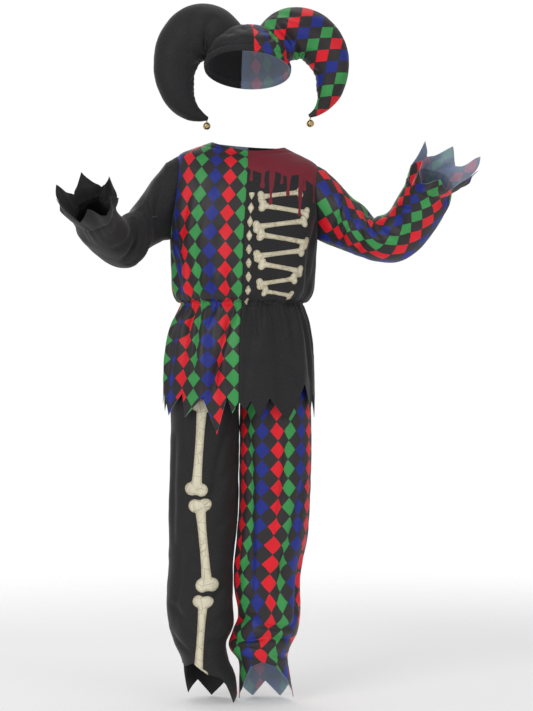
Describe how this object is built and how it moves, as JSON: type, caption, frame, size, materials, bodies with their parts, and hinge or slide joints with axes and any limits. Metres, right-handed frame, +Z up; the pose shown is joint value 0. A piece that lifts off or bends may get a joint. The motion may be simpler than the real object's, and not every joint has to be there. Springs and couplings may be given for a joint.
{
  "type": "jester costume",
  "caption": "Hollow jester costume as worn: horned hat with bells, tunic with gathered waist and dagged hem, and dagged trousers, half plain black and half harlequin diamonds.",
  "frame": {"origin": "between the shoulders, a little under the neckline, where the wearer's shoulders carry the tunic", "axes": "+Z up, -Y out of the costume's front, +X towards the diamond sleeve"},
  "size_m": [0.7817, 0.3684, 1.3427],
  "materials": {
    "black_cloth": "plain matt polyester",
    "diamond_cloth": "printed satin polyester in harlequin diamonds",
    "bell_brass": "polished thin brass",
    "pellet_steel": "plain steel",
    "thread": "black sewing thread"
  },
  "bodies": {
    "costume": {"tunic_front_diamond": "diamond_cloth", "tunic_front_black": "black_cloth", "tunic_back_diamond": "diamond_cloth", "tunic_back_black": "black_cloth", "sleeve_black": "black_cloth", "sleeve_diamond": "diamond_cloth", "trouser_front_black": "black_cloth", "trouser_back_black": "black_cloth", "trouser_front_diamond": "diamond_cloth", "trouser_back_diamond": "diamond_cloth", "hat_cap_black": "black_cloth", "hat_cap_diamond": "diamond_cloth", "hat_horn_black": "black_cloth", "hat_horn_diamond": "diamond_cloth", "bell_thread_black": "thread", "bell_thread_diamond": "thread"},
    "bell_black": {"bell_black": "bell_brass", "bell_pellet_black": "pellet_steel"},
    "bell_diamond": {"bell_diamond": "bell_brass", "bell_pellet_diamond": "pellet_steel"}
  },
  "joints": [
    {"name": "bell_black_swing", "type": "hinge", "parent": "costume", "child": "bell_black", "pos_m": [-0.0754, -0.012, 0.0533], "axis": [0, 1, 0], "range_deg": [-40, 40]},
    {"name": "bell_diamond_swing", "type": "hinge", "parent": "costume", "child": "bell_diamond", "pos_m": [0.1239, -0.012, 0.0583], "axis": [0, 1, 0], "range_deg": [-40, 40]}
  ]
}
